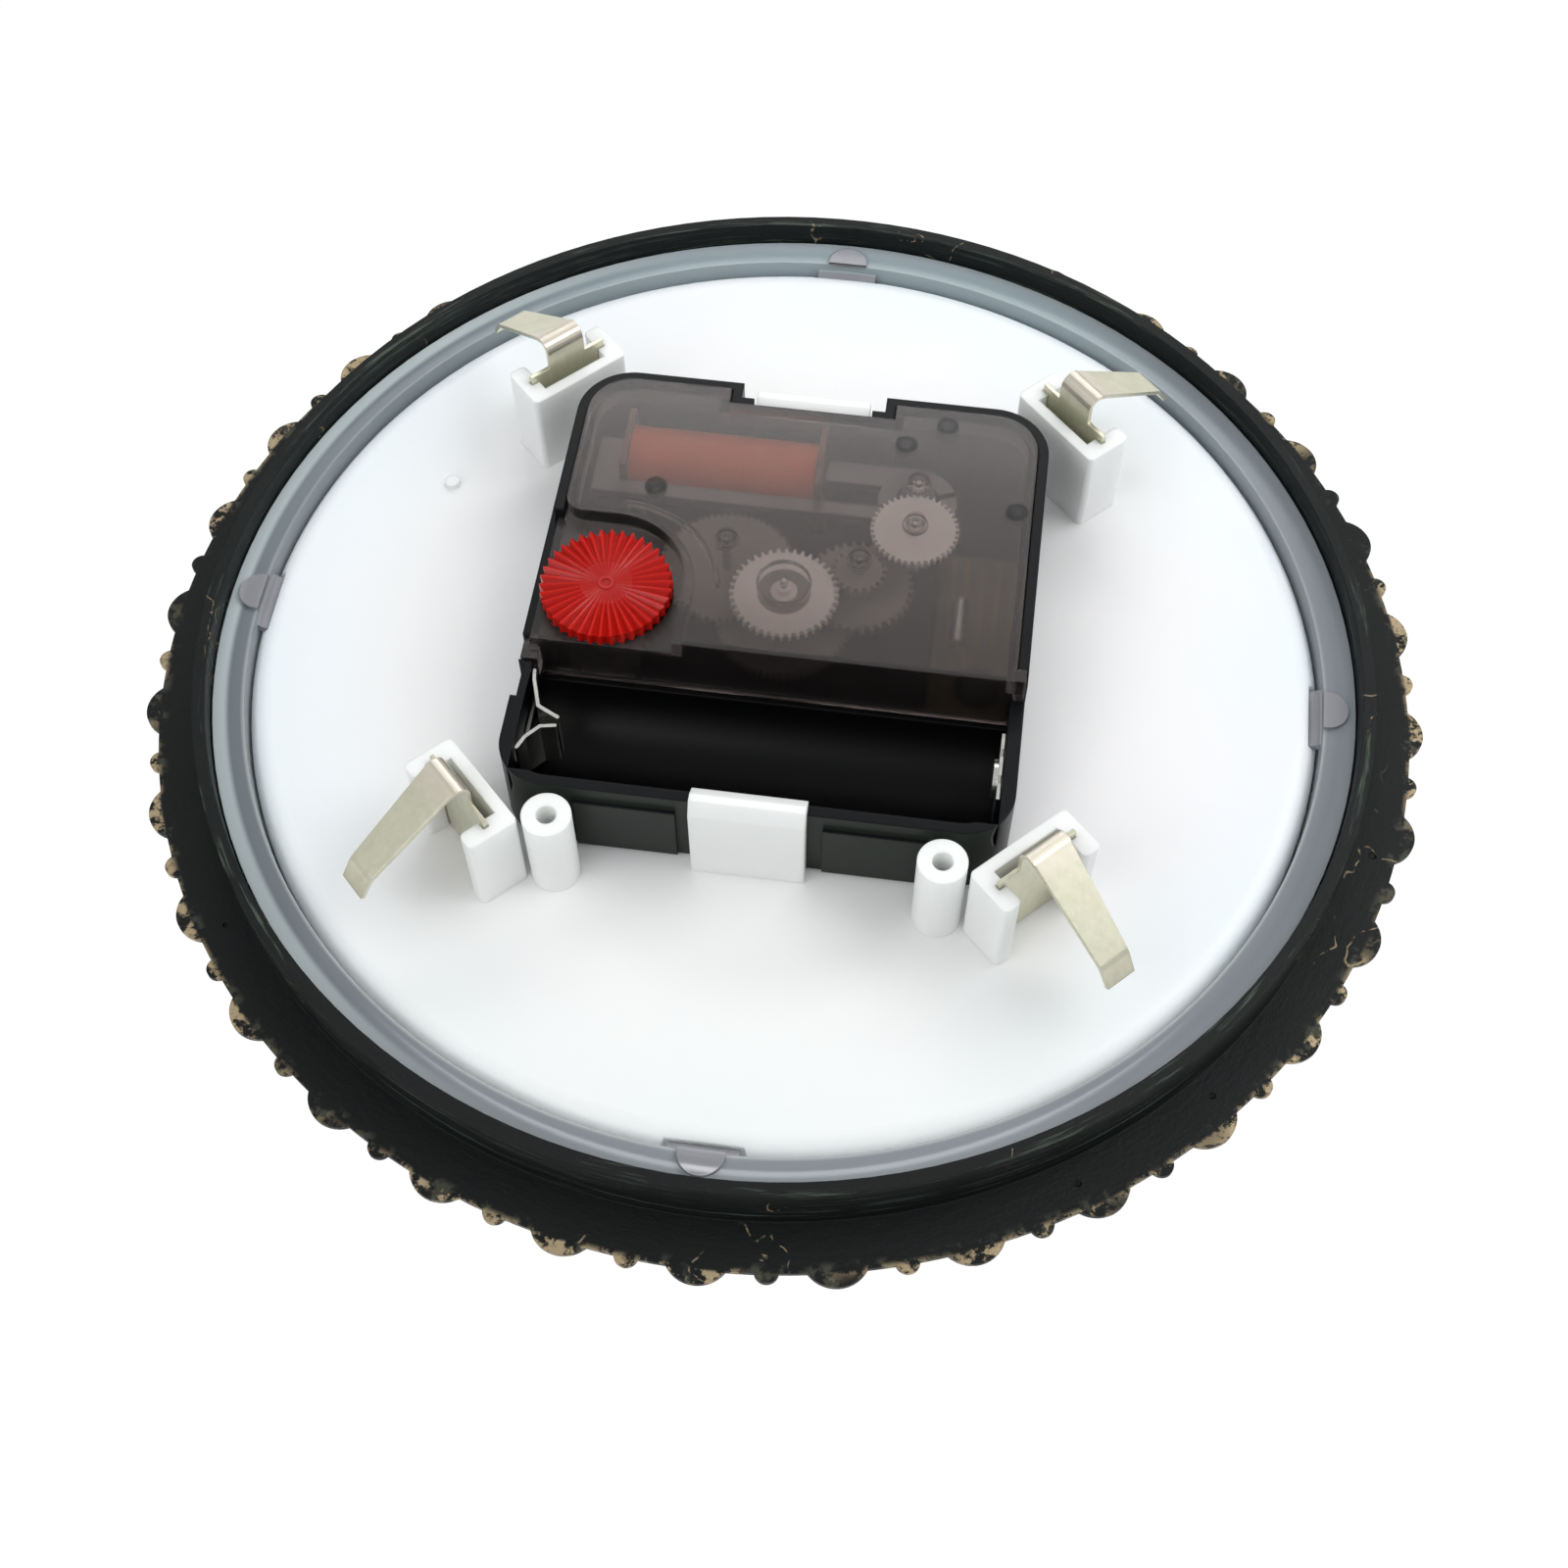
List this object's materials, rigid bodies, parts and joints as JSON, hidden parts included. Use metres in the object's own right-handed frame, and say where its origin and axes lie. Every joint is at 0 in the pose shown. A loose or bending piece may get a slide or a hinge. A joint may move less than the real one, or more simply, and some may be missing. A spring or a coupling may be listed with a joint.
{
  "type": "clock insert",
  "caption": "Round quartz clock insert lying face down: beaded black bezel, press-in collar, white dial plate with square movement, red set knob and four spring clips.",
  "frame": {"origin": "On the collar's axis, in the plane of the flange's back that seats on the panel.", "axes": "+Z points out of the clock's back, along the collar. +Y is twelve o'clock. +X is to the right as seen from behind."},
  "size_m": [0.15, 0.15, 0.0286],
  "materials": {
    "bezel_black": "moulded black, matte back with gilt-flecked edge",
    "clear_plastic": "clear moulded",
    "white_plastic": "milky white moulded",
    "dial_print": "printed sheet",
    "black_plastic": "satin black moulded",
    "smoky_plastic": "smoky transparent moulded",
    "contact_steel": "plated strip",
    "clip_steel": "nickel-plated spring strip",
    "gear_plastic": "natural acetal",
    "copper_wire": "enamelled copper winding",
    "soft_iron": "punched sheet",
    "board": "phenolic board",
    "bright_metal": "drawn can",
    "chip_resin": "resin drop",
    "magnet": "sintered magnet",
    "brass": "turned",
    "hand_black": "black paint on aluminium sheet",
    "red_plastic": "glossy red moulded"
  },
  "bodies": {
    "base": {"bezel": "bezel_black", "lens": "clear_plastic", "dial_plate": "white_plastic", "dial_face": "dial_print", "movement_case": "black_plastic", "movement_cover": "smoky_plastic", "mid_plate": "black_plastic", "spring_clip_1": "clip_steel", "spring_clip_2": "clip_steel", "spring_clip_3": "clip_steel", "spring_clip_4": "clip_steel", "negative_contact": "contact_steel", "positive_contact": "contact_steel", "coil_bobbin": "gear_plastic", "coil_winding": "copper_wire", "coil_core": "soft_iron", "stator_long": "soft_iron", "stator_short": "soft_iron", "circuit_board": "board", "quartz_can": "bright_metal", "chip_cap": "chip_resin"},
    "rotor": {"rotor_magnet": "magnet", "rotor_pinion": "gear_plastic"},
    "sixth": {"sixth_wheel": "gear_plastic"},
    "fifth": {"fifth_wheel": "gear_plastic"},
    "seconds": {"seconds_wheel": "gear_plastic", "second_hand": "hand_black"},
    "third": {"third_wheel": "gear_plastic"},
    "centre": {"centre_wheel": "gear_plastic"},
    "minutes": {"cannon_pinion": "brass", "minute_hand": "hand_black"},
    "minute_work": {"minute_work_wheel": "gear_plastic"},
    "hours": {"hour_wheel": "gear_plastic", "hour_hand": "hand_black"},
    "setting": {"set_arbor": "gear_plastic", "set_knob": "red_plastic"}
  },
  "joints": [
    {"name": "rotor_turn", "type": "hinge", "parent": "base", "child": "rotor", "pos_m": [0.0135, 0.0159, 0.012], "axis": [0, 0, 1], "continuous": true},
    {"name": "sixth_turn", "type": "hinge", "parent": "base", "child": "sixth", "pos_m": [0.0137, 0.01, 0.012], "axis": [0, 0, 1], "continuous": true},
    {"name": "fifth_turn", "type": "hinge", "parent": "base", "child": "fifth", "pos_m": [0.008, 0.0041, 0.012], "axis": [0, 0, 1], "continuous": true},
    {"name": "seconds_turn", "type": "hinge", "parent": "base", "child": "seconds", "pos_m": [0, 0, 0.012], "axis": [0, 0, 1], "continuous": true},
    {"name": "third_turn", "type": "hinge", "parent": "base", "child": "third", "pos_m": [-0.0072, 0.0049, 0.012], "axis": [0, 0, 1], "continuous": true},
    {"name": "centre_turn", "type": "hinge", "parent": "base", "child": "centre", "pos_m": [0, 0, 0.012], "axis": [0, 0, 1], "continuous": true},
    {"name": "minutes_turn", "type": "hinge", "parent": "base", "child": "minutes", "pos_m": [0, 0, 0.012], "axis": [0, 0, 1], "continuous": true},
    {"name": "minute_work_turn", "type": "hinge", "parent": "base", "child": "minute_work", "pos_m": [-0.00821, -0.00143, 0.012], "axis": [0, 0, 1], "continuous": true},
    {"name": "hours_turn", "type": "hinge", "parent": "base", "child": "hours", "pos_m": [0, 0, 0.012], "axis": [0, 0, 1], "continuous": true},
    {"name": "set_knob_turn", "type": "hinge", "parent": "base", "child": "setting", "pos_m": [-0.0195, -0.0034, 0.012], "axis": [0, 0, 1], "continuous": true}
  ],
  "couplings": [
    {"joint": "rotor_turn", "follows": "seconds_turn", "ratio": -30},
    {"joint": "sixth_turn", "follows": "seconds_turn", "ratio": 6},
    {"joint": "fifth_turn", "follows": "seconds_turn", "ratio": -2},
    {"joint": "third_turn", "follows": "seconds_turn", "ratio": -0.13333},
    {"joint": "centre_turn", "follows": "seconds_turn", "ratio": 0.016667},
    {"joint": "minute_work_turn", "follows": "minutes_turn", "ratio": -0.33333},
    {"joint": "hours_turn", "follows": "minutes_turn", "ratio": 0.083333},
    {"joint": "set_knob_turn", "follows": "minutes_turn", "ratio": 0.4}
  ]
}
